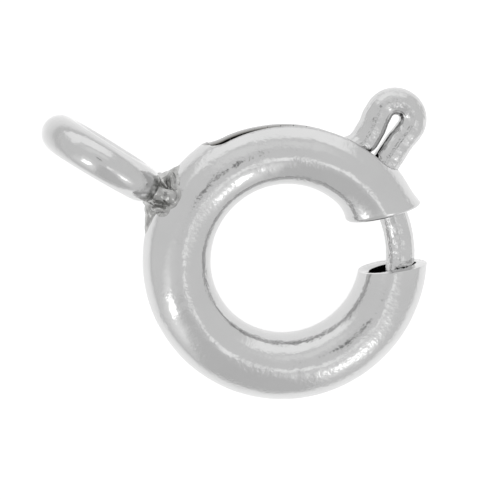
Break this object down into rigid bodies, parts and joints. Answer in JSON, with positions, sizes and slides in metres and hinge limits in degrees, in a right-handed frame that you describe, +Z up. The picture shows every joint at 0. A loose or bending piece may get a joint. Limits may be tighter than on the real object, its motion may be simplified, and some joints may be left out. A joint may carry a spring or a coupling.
{
  "type": "spring ring clasp",
  "caption": "Round tube clasp for a chain, with a sprung bolt that closes its mouth, a looped trigger to draw it back, and a connector ring soldered on across it.",
  "frame": {"origin": "centre of the tube ring, on its own axis and in the middle of the tube's thickness", "axes": "+Z up from the surface that the clasp lies on, +X from the connector ring towards the tube ring's far side, so the tube ring's own axis leans 5.6 degrees from +Z towards +X"},
  "size_m": [0.0175, 0.0146, 0.0055],
  "materials": {
    "ring_metal": "polished grey-silver plating on brass",
    "bolt_metal": "polished grey-silver plating on wire",
    "spring_steel": "drawn spring wire"
  },
  "bodies": {
    "ring_body": {"ring_body": "ring_metal", "spring": "spring_steel"},
    "bolt": {"bolt": "bolt_metal"}
  },
  "joints": [
    {"name": "bolt_slide", "type": "hinge", "parent": "ring_body", "child": "bolt", "pos_m": [0, 0, 0], "axis": [0.097, 0, 0.9953], "range_deg": [0, 63], "stiffness_Nm_per_rad": 0.005, "deforming": ["spring"]}
  ]
}
